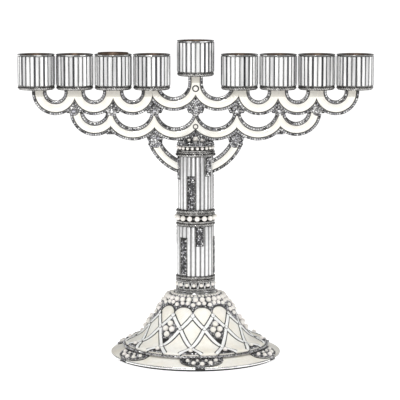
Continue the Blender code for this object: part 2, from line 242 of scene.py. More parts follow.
SILVER = silver("silver", (0.60, 0.59, 0.575), (0.03, 0.028, 0.026), (0.18, 0.36), 1.0, 0.45)
BRIGHT = silver("bright_silver", (0.93, 0.93, 0.92), (0.10, 0.098, 0.095), (0.14, 0.28), 0.85, 0.9)
RIBBON = silver("ribbon_silver", (0.97, 0.97, 0.955), (0.10, 0.098, 0.10), (0.32, 0.46), 0.04, 0.94)
RIB = silver("rib_silver", (0.90, 0.90, 0.90), (0.10, 0.098, 0.10), (0.28, 0.42), 0.25, 0.9)
OXIDE = silver("oxidised_silver", (0.035, 0.034, 0.033), grey(0.012), (0.5, 0.7), 0.3, 0.6)
CREAM = enamel("cream_enamel", (0.93, 0.92, 0.865), (0.905, 0.875, 0.80))
# Painted light: the dome and foot take the cream painted paler, making up for the light their
# sloping surfaces get less of; it is also rougher, with a thinner coat.
CREAM_PAINTED_LIT = enamel("dome_enamel", (0.99, 0.975, 0.92), (0.95, 0.905, 0.80), 0.5, 0.15)
PAVE = crystal("pave_crystal", (0.42, 0.415, 0.46), (0.97, 0.97, 0.96), 0.35)
# Crystal painted near black, standing in for dark reflections and shade: on some facets of the
# stones and on the sides of the cup bars.
PAINTED_DARK_CRYSTAL = crystal("painted_dark_crystal", (0.012, 0.012, 0.014), (0.15, 0.15, 0.16), 0.4)
BAGUETTE = crystal("baguette_crystal", (0.22, 0.22, 0.235), (0.99, 0.99, 0.98), 0.12)
PEARL = pearl_finish()
BRASS = plain_metal("brass", (0.19, 0.135, 0.098), (0.115, 0.082, 0.062), 240, 0.42)
STEEL = plain_metal("steel", (0.62, 0.62, 0.63), (0.42, 0.42, 0.43), 300, 0.3)
FELT = felt_finish()
ALL = [SILVER, BRIGHT, RIBBON, RIB, OXIDE, CREAM, CREAM_PAINTED_LIT]
ALL += [PAVE, PAINTED_DARK_CRYSTAL, BAGUETTE, PEARL, BRASS, STEEL, FELT]


# ---------------- mesh tools


class Soup:
    """Collects closed shells of several finishes, with a tone and a darkness per point."""

    def __init__(self):
        self.points, self.faces, self.finish = [], [], []
        self.smooth, self.tone, self.dark = [], [], []

    def add(self, points, faces, finish, smooth=True, tone=0.5, dark=0.0):
        start = len(self.points)
        self.points.extend(tuple(p) for p in points)
        self.faces.extend(tuple(i + start for i in f) for f in faces)
        many = finish if isinstance(finish, list) else [finish] * len(faces)
        self.finish.extend(ALL.index(m) for m in many)
        self.smooth.extend([smooth] * len(faces))
        count = len(points)
        self.tone.extend(tone if isinstance(tone, list) else [tone] * count)
        self.dark.extend(dark if isinstance(dark, list) else [dark] * count)

    def emit(self, name, body, nodes=(), slot="pewter"):
        """The finished mesh in metres, riding on its body in place of the given nodes."""
        mesh = bpy.data.meshes.new(name)
        mesh.from_pydata([(x / MM, y / MM, z / MM) for x, y, z in self.points], [], self.faces)
        used = sorted(set(self.finish))
        for i in used:
            mesh.materials.append(ALL[i])
        mesh.polygons.foreach_set("material_index", [used.index(i) for i in self.finish])
        mesh.polygons.foreach_set("use_smooth", self.smooth)
        for key in ("tone", "dark"):
            layer = mesh.attributes.new(key, "FLOAT", "POINT")
            layer.data.foreach_set("value", getattr(self, key))
        mesh.update()
        mesh.set_sharp_from_angle(angle=SHARP_ANGLE)
        made = add_object(name, mesh)
        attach(made, body)
        if nodes:
            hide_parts(*nodes)


def round_ring(count, phase=0.0):
    """Evenly spaced angles round a full turn."""
    return [phase + 2 * math.pi * i / count for i in range(count)]


def ring_faces(around, n):
    """Quads round a closed ring of sections with n points each."""
    faces = []
    for i in range(around):
        a, b = i * n, (i + 1) % around * n
        for j in range(n):
            k = (j + 1) % n
            faces.append((a + j, b + j, b + k, a + k))
    return faces


def tube_faces(sections, n):
    """The two ends of a bar of sections with n points each, then the quads along it."""
    last = (sections - 1) * n
    faces = [tuple(reversed(range(n))), tuple(range(last, last + n))]
    for a in range(0, last, n):
        for j in range(n):
            k = (j + 1) % n
            faces.append((a + j, a + k, a + n + k, a + n + j))
    return faces


def prism(soup, outline, half):
    """Dark block with an outline in X and Z, from -half to half along Y."""
    n = len(outline)
    points = [(x, y, z) for y in (-half, half) for x, z in outline]
    faces = [tuple(range(n)), tuple(reversed(range(n, 2 * n)))]
    faces += [(i, n + i, n + (i + 1) % n, (i + 1) % n) for i in range(n)]
    soup.add(points, faces, OXIDE, False, 0.5, 0.3)


def corners(n, size, z, turn=0.0):
    angles = [(k + turn) * 2 * math.pi / n for k in range(n)]
    return [(size * math.cos(t), size * math.sin(t), z) for t in angles]


def gem_shape():
    """Small brilliant: table, crown facets, girdle and a closed back."""
    points = corners(8, 1.0, 0.0) + corners(8, 0.52, 0.5, 0.5) + corners(8, 0.8, -0.5)
    faces = [tuple(range(8, 16)), tuple(reversed(range(16, 24)))]
    for k in range(8):
        n = (k + 1) % 8
        faces += [(k, n, 8 + k), (8 + k, n, 8 + n), (16 + k, 16 + n, n, k)]
    return points, faces


def ball_shape(around, rows):
    points = [(0, 0, -1.0)]
    for j in range(1, rows):
        a = math.pi * j / rows
        for t in round_ring(around):
            points.append((math.sin(a) * math.cos(t), math.sin(a) * math.sin(t), -math.cos(a)))
    points.append((0, 0, 1.0))
    last = len(points) - 1
    faces = []
    for i in range(around):
        n = (i + 1) % around
        faces += [(0, 1 + n, 1 + i), (last, last - around + i, last - around + n)]
        for j in range(rows - 2):
            a = 1 + j * around
            faces.append((a + i, a + n, a + around + n, a + around + i))
    return points, faces


def brilliant_shape():
    """Larger brilliant: table, star facets, kites, girdle and a closed back."""
    n = 12
    points = corners(n, 0.36, 0.46) + corners(n, 0.68, 0.34, 0.5)
    points += corners(n, 1.0, 0.0) + corners(n, 0.75, -0.5)
    faces = [tuple(range(n)), tuple(reversed(range(3 * n, 4 * n)))]
    for k in range(n):
        m = (k + 1) % n
        faces += [(k, n + k, m), (n + k, n + m, m)]
        faces += [(n + k, 2 * n + k, 2 * n + m), (n + k, 2 * n + m, n + m)]
        faces.append((2 * n + k, 3 * n + k, 3 * n + m, 2 * n + m))
    return points, faces


GEM = gem_shape()
BRILLIANT = brilliant_shape()
BEAD = ball_shape(10, 6)
BALL = ball_shape(20, 12)


def stamp(
    soup, shape, at, normal, size, finish, spin=0.0, smooth=False, tone=None, tilt=0.0, dark=0.0
):
    """Puts a small shape at a point, its own Z along the normal."""
    up = Vector(normal).normalized()
    if tilt:
        up = (up + Vector([random.uniform(-tilt, tilt) for _ in range(3)])).normalized()
    side = up.orthogonal().normalized()
    other = up.cross(side)
    c, s = math.cos(spin), math.sin(spin)
    a, b = side * c + other * s, other * c - side * s
    sx, sy, sz = size if isinstance(size, tuple) else (size, size, size)
    points = [Vector(at) + a * x * sx + b * y * sy + up * z * sz for x, y, z in shape[0]]
    shade = random.random() if tone is None else tone
    soup.add(points, shape[1], finish, smooth, shade, dark)


def bead(soup, at, normal, size, dark, finish=SILVER):
    stamp(soup, BEAD, at, normal, size, finish, smooth=True, dark=dark)


def facets(shape, shaded):
    """Finish of each facet of a stone: some pale, the others painted dark, standing in for dark
    reflections.
    """
    return [PAINTED_DARK_CRYSTAL if random.random() < shaded else PAVE for _ in shape[1]]


def gem(soup, at, normal, size=0.66, shaded=0.5):
    """One small pavé stone, mostly pale or mostly painted dark, standing in for dark reflections.
    """
    stone_painted_dark = random.random() < shaded
    cut = facets(GEM, 0.8 if stone_painted_dark else 0.2)
    cut[0] = PAINTED_DARK_CRYSTAL if stone_painted_dark else PAVE
    stamp(soup, GEM, at, normal, size, cut, random.uniform(0, 6), False, None, 0.16)


def gem_pair(soup, x, depth, z, size, shaded=0.5):
    """One pavé stone on each face of a tier."""
    for side in (-1, 1):
        gem(soup, (x, side * depth, z), (0, side, 0), size, shaded)


def big_gem(soup, at, normal, radius, shaded):
    """Round crystal with a small table inside three rings of facets, and a ring of claws."""
    size = (radius, radius, radius * 0.8)
    stamp(soup, BRILLIANT, at, normal, size, facets(BRILLIANT, shaded))
    n = Vector(normal).normalized()
    side = n.orthogonal().normalized()
    other = n.cross(side)
    for t in round_ring(max(8, int(radius * 4.2))):
        claw = Vector(at) + (side * math.cos(t) + other * math.sin(t)) * radius
        bead(soup, claw, n, 0.36, 0.35)


def pearl(soup, at, normal, size, seat=True):
    """Pearl sunk in a small oxidised cup."""
    stamp(soup, BALL, at, normal, size, PEARL, smooth=True)
    if seat:
        n = Vector(normal).normalized()
        base = Vector(at) - n * size * 0.62
        bead(soup, base, n, (size * 1.3, size * 1.3, size * 0.5), 0.0, OXIDE)


def polar(radius, angle, height):
    """A point round the column, its angle measured from the front towards +X."""
    return (radius * math.sin(angle), -radius * math.cos(angle), height)


def lathe(soup, profile, finish, segments=96, at=(0.0, 0.0, 0.0), wave=None):
    """Closed ring of revolution. Each profile point is (r, z), or (r, z, darkness)."""
    points, shade = [], []
    for angle in round_ring(segments):
        for j, (r, z, *sunk) in enumerate(profile):
            d = sunk[0] if sunk else 0.0
            if wave:
                r, d = wave(angle, j, r, d)
            x, y, zz = polar(r, angle, z)
            points.append((x + at[0], y + at[1], zz + at[2]))
            shade.append(d)
    kinds = finish * segments if isinstance(finish, list) else finish
    soup.add(points, ring_faces(segments, len(profile)), kinds, True, 0.5, shade)


def rope(soup, radius, z, thick, twists, at=(0.0, 0.0, 0.0)):
    """Twisted rope moulding: two strands wound round a ring, dark between the turns."""
    along, across = twists * 8, 10
    points, shade = [], []
    for angle in round_ring(along):
        for turn in round_ring(across):
            lobe = 0.5 + 0.5 * math.cos(2 * turn + twists * angle)
            r = thick * (0.72 + 0.28 * lobe)
            x, y, zz = polar(radius + r * math.cos(turn), angle, z + r * math.sin(turn))
            points.append((x + at[0], y + at[1], zz + at[2]))
            shade.append(max(0.0, 0.75 - 1.3 * lobe))
    soup.add(points, ring_faces(along, across), SILVER, True, 0.5, shade)


def ledge(soup, z, root, radius, nose, finish):
    """Thin raised ring with a rounded nose."""
    wall = [(root, z - 0.35), (radius, z - 0.3), (nose, z), (radius, z + 0.3), (root, z + 0.35)]
    lathe(soup, wall, finish)


# ---------------- candle cups


def baguette_shape(width, depth, height, bevel):
    """Step-cut bar along its own Z, closed, with its back on y = 0 and its table at +y."""
    half = ((-0.5, 0.0), (-0.47, 0.72), (-0.36, 1.0), (-0.3, 0.86))
    outline = half + tuple((-u, v) for u, v in reversed(half))
    loops = ((0.0, 0.45), (bevel, 1.0), (height - bevel, 1.0), (height, 0.45))
    points = [
        (u * width, v * depth * (k if v > 0.5 else 1.0), z) for z, k in loops for u, v in outline
    ]
    return points, tube_faces(len(loops), len(outline))


def cup_shell(label, x, z):
    soup = Soup()
    at = (x, 0.0, z)
    body = [
        (12.7, 3.0, 1.0), (12.7, 25.6, 1.0), (13.5, 25.7, 0.9), (13.9, 25.85, 0.4),
        (14.05, 26.15, 0.0), (14.05, 26.45, 0.0), (13.9, 26.7, 0.1), (13.5, 26.8, 0.4),
        (12.4, 26.8, 0.5), (12.0, 26.6, 0.8), (11.95, 2.2, 0.9), (0.4, 2.2, 0.9),
        (0.4, 0.2, 0.4), (12.6, 0.1, 0.2), (13.1, 0.3, 0.5),
    ]
    # Painted reflection: the rim flange is painted dark all round, standing in for dark
    # reflections, except for small bright glints at a few random angles.
    glint_angles = [random.uniform(-math.pi, math.pi) for _ in range(5)]

    def rim(angle, j, r, d):
        if 3 <= j <= 8:  # the points of the rim flange
            turns = [(angle - spot + math.pi) % (2 * math.pi) - math.pi for spot in glint_angles]
            near = min(abs(turn) for turn in turns)
            d = 0.0 if near < 0.16 else max(d, 0.78)
        return r, d

    lathe(soup, body, [OXIDE] * 3 + [BRIGHT] * 4 + [SILVER] * 8, 96, at, rim)
    rope(soup, 12.85, 1.6, 1.15, 46, at)
    foot_flange = [(12.4, 2.8, 1.0), (13.8, 2.85, 1.0), (13.9, 3.1), (13.6, 3.3), (12.4, 3.3)]
    lathe(soup, foot_flange, SILVER, 96, at)
    soup.emit(f"shell_{label}", "stand", [f"cup_{label}_shell"])


def cup_crystals(label, x, z):
    soup = Soup()
    shape = baguette_shape(3.06, 1.15, BAR_HEIGHT, 0.35)
    # Painted shade: each bar's sides, back, ends and narrow flanks, and one bevel on about two bars
    # in three, take the crystal painted dark, standing in for the shade and dark reflections
    # between the bars.
    bevels = ((PAINTED_DARK_CRYSTAL, BAGUETTE), (BAGUETTE, PAINTED_DARK_CRYSTAL), (BAGUETTE, BAGUETTE))
    for i in range(CUP_BARS):
        angle = (i + 0.5) * math.pi / (CUP_BARS / 2)
        lean = random.uniform(-0.05, 0.05)
        left, right = random.choice(bevels)
        cut = [PAINTED_DARK_CRYSTAL] * 2 + [PAINTED_DARK_CRYSTAL, left, PAINTED_DARK_CRYSTAL, BAGUETTE, PAINTED_DARK_CRYSTAL, right, PAINTED_DARK_CRYSTAL, PAINTED_DARK_CRYSTAL] * 3
        c, s = math.cos(angle + lean), math.sin(angle + lean)
        points = []
        for u, v, h in shape[0]:
            r = BAR_BACK + v + 0.03 * (h / BAR_HEIGHT)
            cx, cy = math.sin(angle) * r, -math.cos(angle) * r
            points.append((x + cx + u * c, cy + u * s, z + 3.4 + h))
        soup.add(points, shape[1], cut, False, random.choice((0.6, 0.85, 0.95, 1.0)))
    soup.emit(f"crystals_{label}", "stand", [f"cup_{label}_crystals"], "clear_crystal")


def cup_liner(label, x, z):
    soup = Soup()
    low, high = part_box(f"cup_{label}_liner")
    bottom, top = low[2] * MM, high[2] * MM
    profile = [
        (0.3, bottom), (11.2, bottom), (11.6, bottom + 0.5), (11.6, top - 0.3),
        (11.45, top), (11.25, top), (11.12, top - 0.25), (11.12, bottom + 1.1),
        (10.8, bottom + 0.8), (0.3, bottom + 0.8),
    ]
    lathe(soup, profile, BRASS, 96, (x, 0.0, 0.0))
    soup.emit(f"liner_{label}_brass", f"liner_{label}", [f"cup_{label}_liner"], "brass")


# ---------------- tiers

TOP_SWAGS = [
    (-105.25, 201.0, 6.8, 17.6, -200.0, -90.8, 202.2, 202.2),
    (-76.35, 201.0, 6.8, 17.6, -90.8, -61.9, 202.2, 202.2),
    (-47.4, 201.0, 6.8, 17.6, -61.9, -32.3, 202.2, 202.2),
    (-16.45, 207.6, 10.9, 21.0, -32.3, 0.0, 202.2, 212.5),
]
MIDDLE_SWAGS = [
    (-75.8, 186.6, 8.6, 18.9, -200.0, -64.0, 185.4, 185.4),
    (-47.0, 187.4, 13.5, 23.1, -64.0, -30.7, 185.4, 185.4),
    (-15.0, 187.4, 13.6, 23.1, -30.7, 0.0, 185.4, 185.4),
]


def with_mirror(swags):
    return swags + [
        (-x, z, r0, r3, -hi, -lo, top_hi, top_lo) for x, z, r0, r3, lo, hi, top_lo, top_hi in swags
    ]


def swag_section(r0, r3, half):
    """Breakpoints (radius, height, finish of the stretch that follows, darkness) across a swag."""
    a, b = r0 + 2.2, r3 - 2.15
    rows = [
        (r0, -0.5, SILVER, 0.9), (r0 + 0.1, -0.05, SILVER, 0.5),
        (r0 + 0.34, 0.0, SILVER, 0.2), (r0 + 0.46, -0.6, OXIDE, 0.5),
        (a - 0.62, -0.6, SILVER, 0.5), (a - 0.5, 0.0, SILVER, 0.2),
        (a - 0.26, 0.0, SILVER, 0.3), (a - 0.16, -0.7, OXIDE, 1.0),
        (a + 0.26, -0.7, CREAM, 0.3), (a + 0.36, -0.25, CREAM, 0.0),
        (a + 0.3 * (b - a), 0.1, CREAM, 0.0),
        (a + 0.7 * (b - a), 0.1, CREAM, 0.0),
        (b - 0.36, -0.25, CREAM, 0.0), (b - 0.26, -0.7, OXIDE, 1.0),
        (b + 0.1, -0.7, SILVER, 1.0), (b + 0.26, 0.0, SILVER, 0.3),
        (b + 0.46, 0.0, SILVER, 0.2), (b + 0.56, -0.6, OXIDE, 0.5),
        (r3 - 0.46, -0.6, SILVER, 0.5), (r3 - 0.34, 0.0, SILVER, 0.2),
        (r3 - 0.1, -0.05, SILVER, 0.5), (r3, -0.5, SILVER, 0.9),
    ]
    return [(r, half + h, finish, d) for r, h, finish, d in rows]


def swag_limits(swag, a):
    """(edge, lowest, highest) radius of a swag along the ray at angle a below the horizontal."""
    x0, z0, r0, r3, x_lo, x_hi, top_lo, top_hi = swag
    c, s = math.cos(a), math.sin(a)
    top = top_hi if c > 0 else top_lo
    edge = r0 / abs(c) if s < 0 else r0
    low, high = edge, r3 + (edge - r0)
    if c > 1e-6:
        high = min(high, (x_hi - x0) / c)
    if c < -1e-6:
        high = min(high, (x_lo - x0) / c)
    if top >= z0 and s < -1e-6:
        high = min(high, (top - z0) / -s)
    if top < z0:
        low = max(low, (z0 - top) / s) if s > 1e-6 else 1e9
    return edge, low, high


def height_at(section, radius):
    for (ra, ha, _, da), (rb, hb, _, db) in zip(section, section[1:]):
        if ra <= radius <= rb:
            t = (radius - ra) / max(rb - ra, 1e-9)
            return ha + (hb - ha) * t, da + (db - da) * t
    return section[-1][1], section[-1][3]


def swag_body(soup, swag, half, first=-0.62, last=math.pi + 0.62, steps=150, shaded=False):
    """One swag as a closed band, front and back alike, cut off where it meets its neighbours."""
    x0, z0, r0, r3 = swag[:4]
    section = swag_section(r0, r3, half)
    finishes = [s[2] for s in section[:-1]]
    run = []
    for i in range(steps + 1):
        a = first + (last - first) * i / steps
        edge, low, high = swag_limits(swag, a)
        if high - low < 0.25:
            continue
        loop, shade = [], []
        for r, _, _, _ in section:
            shift = edge - r0 if r <= r0 + 3 else 0.0
            radius = min(max(r + shift, low), high)
            h, d = height_at(section, min(radius - shift, r3))
            z = z0 - radius * math.sin(a)
            # Painted shadow: on the top tier the points just under the cups are darkened, in enamel
            # and silver alike, standing in for the shadow the cups cast.
            if shaded and z > (swag[7] if math.cos(a) > 0 else swag[6]) - PAINTED_SHADOW_DROP:
                d = max(d, 0.5)
            loop.append((x0 + radius * math.cos(a), h, z))
            shade.append(d)
        front = [(x, -h, z) for x, h, z in loop]
        back = [(x, h, z) for x, h, z in reversed(loop)]
        run.append((front + back, shade + shade[::-1]))
    points = [p for loop, _ in run for p in loop]
    shade = [d for _, row in run for d in row]
    kinds = [SILVER] * 2 + (finishes + [SILVER] + finishes[::-1] + [SILVER]) * (len(run) - 1)
    soup.add(points, tube_faces(len(run), len(section) * 2), kinds, True, 0.5, shade)


def swag_stones(soup, swag, half, first=-0.62, last=math.pi + 0.62):
    """Pavé stones set in the channels of both borders, front and back."""
    x0, z0, r0, r3 = swag[:4]
    for offset, inner in ((BORDER_DEPTH, True), (-BORDER_DEPTH, False)):
        base = r0 + offset if inner else r3 + offset
        a = first
        while a < last:
            edge, low, high = swag_limits(swag, a)
            radius = edge + offset if inner else base
            if low - 0.1 <= radius <= high - 0.5:
                x, z = x0 + radius * math.cos(a), z0 - radius * math.sin(a)
                gem_pair(soup, x, half - 0.2, z, 0.78, 0.3)
            a += BORDER_PITCH / base


def fillet(soup, x, top, bottom, width, swags, clear):
    """Pavé triangle that fills the notch between two swags down to the stone under it."""
    outline = [(x, top + 0.9), (x + width, bottom), (x + width * 0.82, bottom - 2.6)]
    outline += [(2 * x - p, z) for p, z in reversed(outline[1:])]
    prism(soup, outline, 3.3)
    for row in range(12):
        z = top - 0.9 - row * PAVE_PITCH * 0.87
        for col in range(-9, 10):
            px = x + (col + 0.5 * (row % 2)) * PAVE_PITCH
            if z < bottom - 2.2 or abs(px - x) > width - max(0.0, bottom - z) * 0.1 * width:
                continue
            if any(math.hypot(px - s[0], z - s[1]) < s[3] + 0.25 for s in swags):
                continue
            if math.hypot(px - x, z - clear[0]) < clear[1]:
                continue
            gem_pair(soup, px, 3.55, z, 0.7)


def ringed_stone(soup, x, z, radius, half):
    """Round white stone in a ring of beads, on both faces."""
    for side in (-1, 1):
        disc = (radius * 1.12, radius * 1.12, 0.4)
        stone = (radius * 0.74, radius * 0.74, 0.8)
        facing = (0, side, 0)
        stamp(soup, BALL, (x, side * (half + 0.1), z), facing, disc, OXIDE, smooth=True)
        stamp(soup, BALL, (x, side * (half + 0.2), z), facing, stone, PEARL, smooth=True)
        for t in round_ring(20):
            at = (x + radius * math.cos(t), side * (half + 0.05), z + radius * math.sin(t))
            bead(soup, at, facing, 0.3, 0.5)


def tiers():
    top, middle = with_mirror(TOP_SWAGS), with_mirror(MIDDLE_SWAGS)
    soup = Soup()
    for swag in top:
        swag_body(soup, swag, PLATE, shaded=True)
        swag_stones(soup, swag, PLATE)
    for x in STONE_X:
        cusp = 197.6 if x == 0 else 195.2
        fillet(soup, x, cusp, 187.6, 6.4, top, (STONE_Z, 3.0))
    ringed_stone(soup, 0.0, 203.6, 2.4, PLATE)
    soup.emit("top_tier", "stand", ["tier_top"], "cream_enamel")

    soup = Soup()
    for swag in middle:
        swag_body(soup, swag, PLATE)
        swag_stones(soup, swag, PLATE)
    for x in (-30.4, 30.4):
        fillet(soup, x, 173.2, 166.4, 6.4, middle, (165.0, 2.6))
    for x in (-64.0, 64.0):
        fillet(soup, x, 174.4, 171.6, 3.6, middle, (160.0, 3.0))
    fillet(soup, 0.0, 172.2, 164.6, 14.0, middle, (165.6, 2.3))
    for side in (-1, 1):
        pearl(soup, (0.0, side * 4.3, 165.5), (0, side, 0), 2.1)
        for x in (-4.9, 4.9):
            pearl(soup, (x, side * 4.2, 164.7), (0, side, 0), 1.2)
    ringed_stone(soup, 0.0, 174.9, 1.9, PLATE)
    soup.emit("middle_tier", "stand", ["tier_middle"], "cream_enamel")

    for name, first, last in (("arm_left", 1.928, 2.72), ("arm_right", 0.42, 1.214)):
        soup = Soup()
        arm = (0.0, 175.8, 28.8, 38.4, -99.0, 99.0, 162.4, 162.4)
        swag_body(soup, arm, PLATE - 0.4, first, last, 60)
        swag_stones(soup, arm, PLATE - 0.4, first, last)
        arm_shoulder(soup, -1 if name == "arm_left" else 1)
        soup.emit(f"{name}_enamelled", "stand", [name], "cream_enamel")


def arm_shoulder(soup, way):
    """Pavé block over the upper end of an arm, under its cluster."""
    outline = [(25.2, 163.0), (25.2, 160.8), (29.0, 158.9)]
    outline += [(33.6, 159.3), (35.7, 161.2), (35.3, 163.4)]
    if way < 0:
        outline = [(-x, z) for x, z in reversed(outline)]
    prism(soup, outline, 3.75)
    for row in range(4):
        z = 162.8 - row * 1.3
        for col in range(9):
            x = 25.7 + (col + 0.5 * (row % 2)) * 1.45
            low = 160.9 - 2.0 * math.sin(math.pi * min(1.0, max(0.0, (x - 25) / 11.5)))
            if z < low or x > 35.0:
                continue
            gem_pair(soup, way * x, 3.95, z, 0.7)


def lay_through(soup, x, z):
    """Turns what was lathed so far to lie along Y, at x and z."""
    soup.points = [(px + x, pz, py + z) for px, py, pz in soup.points]


def junction(name, x, z):
    """Crystal flower through the plate: a dark collet, a middle stone and seven round it."""
    soup = Soup()
    half = [(3.6, 4.0, 0.4), (3.95, 3.5, 0.5)]
    wall = [(2.0, -3.9)] + [(r, -h, d) for r, h, d in half] + [(3.7, 0.0, 0.8)]
    lathe(soup, wall + half[::-1] + [(2.0, 3.9)], SILVER, 40)
    lathe(soup, [(0.3, -3.9), (2.4, -3.9), (2.4, 3.9), (0.3, 3.9)], OXIDE, 24)
    lay_through(soup, x, z)
    for side in (-1, 1):
        facing = (0, side, 0)
        big_gem(soup, (x, side * 4.2, z), facing, 1.75, 0.45)
        for k in range(7):
            t = k * 2 * math.pi / 7 + 0.4
            at = (x + 2.9 * math.cos(t), side * 4.05, z + 2.9 * math.sin(t))
            gem(soup, at, facing, 0.98, 0.55)
            t += math.pi / 7
            at = (x + 3.5 * math.cos(t), side * 4.1, z + 3.5 * math.sin(t))
            bead(soup, at, facing, 0.4, 0.3)
    soup.emit(f"{name}_set", "stand", [name], "clear_crystal")


def cluster(name, x, z):
    """Small group of six stones on a dark collet."""
    soup = Soup()
    places = [(-1.0, 2.0, 1.7), (1.9, 0.8, 1.5), (-2.4, -0.7, 1.3)]
    places += [(0.2, -1.0, 1.4), (2.0, -2.1, 1.0), (-1.2, -3.0, 1.2)]
    wall = [(0.3, -3.5), (3.5, -3.6, 0.3), (3.9, 0.0, 0.6), (3.5, 3.6, 0.3), (0.3, 3.5)]
    lathe(soup, wall, OXIDE, 32)
    lay_through(soup, x, z)
    way = -1 if x > 0 else 1
    for side in (-1, 1):
        for dx, dz, r in places:
            big_gem(soup, (x + way * dx, side * 3.9, z + dz), (0, side, 0), r, 0.5)
    soup.emit(f"{name}_set", "stand", [name], "clear_crystal")


# ---------------- column


def strand(name, node, radius, z, size, count, phase, bed):
    """Row of pearls on a dark band. bed is (inner radius, outer radius, bottom, top)."""
    soup = Soup()
    for t in round_ring(count, phase):
        pearl(soup, polar(radius, t, z), polar(1, t, 0), size, False)
    inner, outer, low, high = bed
    lathe(soup, [(inner, low), (outer, low + 0.1), (outer, high - 0.1), (inner, high)], OXIDE, 72)
    soup.emit(name, "stand", [node], "white_pearl")


def capital():
    soup = Soup()
    wall = [
        (3.0, 153.1), (14.0, 153.1, 0.3), (14.0, 154.2, 0.8), (13.0, 156.0, 1.0),
        (12.2, 157.0, 1.0), (12.2, 160.4, 1.0), (13.6, 160.8, 0.6), (13.7, 161.2, 0.9),
        (13.7, 162.7, 0.9), (13.0, 162.9, 0.5), (3.0, 162.9, 0.5),
    ]
    lathe(soup, wall, [SILVER] * 4 + [OXIDE] * 5 + [SILVER] * 2, 96)
    upper_ring = [(13.0, 160.6), (14.3, 160.7), (14.45, 161.0), (14.3, 161.3), (13.0, 161.4)]
    lower_ring = [(12.6, 157.2), (14.1, 157.0), (14.2, 157.3), (14.0, 157.6), (12.6, 157.6)]
    lathe(soup, upper_ring, SILVER)
    lathe(soup, lower_ring, SILVER)
    rope(soup, 14.3, 153.9, 0.95, 44)
    rope(soup, 13.9, 155.9, 0.8, 44)
    for t in round_ring(58):
        gem(soup, polar(13.8, t, 162.0), polar(1, t, 0), 0.72, 0.55)
    for t in round_ring(52):
        gem(soup, polar(12.9, t, 163.0), polar(0.7, t, 0.7), 0.7, 0.5)
    soup.emit("capital_head", "stand", ["capital"])
    bed = (12.0, 12.7, 157.9, 160.3)
    strand("capital_strand", "capital_pearls", 13.3, 159.2, 1.2, 22, 0.1, bed)


def ribbed_drum(name, radius, bottom, top, panels, tarnish):
    """Drum with half-round ribs, unevenly tarnished, and pavé panels two ribs wide."""
    soup = Soup()
    worn = [random.uniform(0.0, tarnish) for _ in range(DRUM_RIBS)]

    def rib(angle, j, r, d):
        if r < 11:
            return r, d
        place = angle * (DRUM_RIBS / 2) / math.pi
        u = (place % 1.0) * 2 - 1
        sink = 1 - math.sqrt(max(0.0, 1 - 0.96 * u * u))
        d = max(d, worn[int(place) % DRUM_RIBS])
        return r - 1.05 * sink, min(1.0, 0.9 * max(0.0, (abs(u) - 0.36) * 1.65) + d)

    wall = [(9.6, bottom), (radius - 0.4, bottom, 0.3), (radius, bottom + 0.6)]
    wall += [(radius, top - 0.6), (radius - 0.4, top, 0.3), (9.6, top)]
    lathe(soup, wall, RIB, 480, wave=rib)
    for centre, low, high in panels:
        panel(soup, radius, math.radians(centre), low, high)
    soup.emit(f"{name}_ribbed", "stand", [name], "silvered_rib")


def panel(soup, radius, centre, low, high):
    """Raised pavé panel on a drum: a dark bed, staggered rows of stones and beaded sides."""
    half = math.radians(13.0)
    inner, outer = radius - 1, radius + 0.12
    bed = ((inner, low), (outer, low), (outer, high), (inner, high))
    sector(soup, bed, centre - half, centre + half, 8, 0.2)
    row_pitch = PAVE_PITCH * 0.9
    for row in range(int((high - low - 0.6) / row_pitch)):
        z = low + 0.9 + row * PAVE_PITCH * 0.9
        wide = 1 if row % 2 else 2
        for col in range(-wide, wide + 1):
            t = centre + (col + 0.5 * (row % 2)) * PAVE_PITCH / radius
            if abs(t - centre) < half - 0.02:
                size = random.uniform(0.55, 0.8)
                gem(soup, polar(radius + 0.25, t, z), polar(1, t, 0), size, 0.6)
    for t in (centre - half, centre + half):
        for k in range(int((high - low) / 0.7)):
            at = polar(radius + 0.1, t, low + 0.35 + k * 0.7)
            bead(soup, at, polar(1, t, 0), 0.36, 0.2)


def sector(soup, profile, first, last, steps, dark):
    """Closed sweep of a profile round the column between two angles."""
    turns = [first + (last - first) * i / steps for i in range(steps + 1)]
    points = [polar(r, t, z) for t in turns for r, z in profile]
    soup.add(points, tube_faces(steps + 1, len(profile)), OXIDE, False, 0.5, dark)


def drums():
    upper = [(c, low, 152.3) for c, low in ((-75, 134.8), (45, 138.0), (165, 138.0))]
    upper += [(c, 113.0, 138.4) for c in (-15, 105, 225)]
    ribbed_drum("upper_drum", 13.45, 112.6, 152.7, upper, 0.3)
    lower = [(c, 85.2, 99.6) for c in (12, 132, 252)]
    lower += [(c, 62.7, 91.6) for c in (-40, 80, 200)]
    ribbed_drum("lower_drum", 14.2, 62.3, 99.9, lower, 0.12)


def collar(bottom, top, edge, waist, rings):
    soup = Soup()
    wall = [(3.0, bottom), (edge - 1.4, bottom, 0.4), (waist + 0.2, bottom + rings + 0.6, 1.0)]
    wall += [(waist, (bottom + top) / 2, 1.0), (waist + 0.2, top - rings - 0.6, 1.0)]
    wall += [(edge - 1.4, top, 0.4), (3.0, top)]
    lathe(soup, wall, SILVER, 96)
    return soup


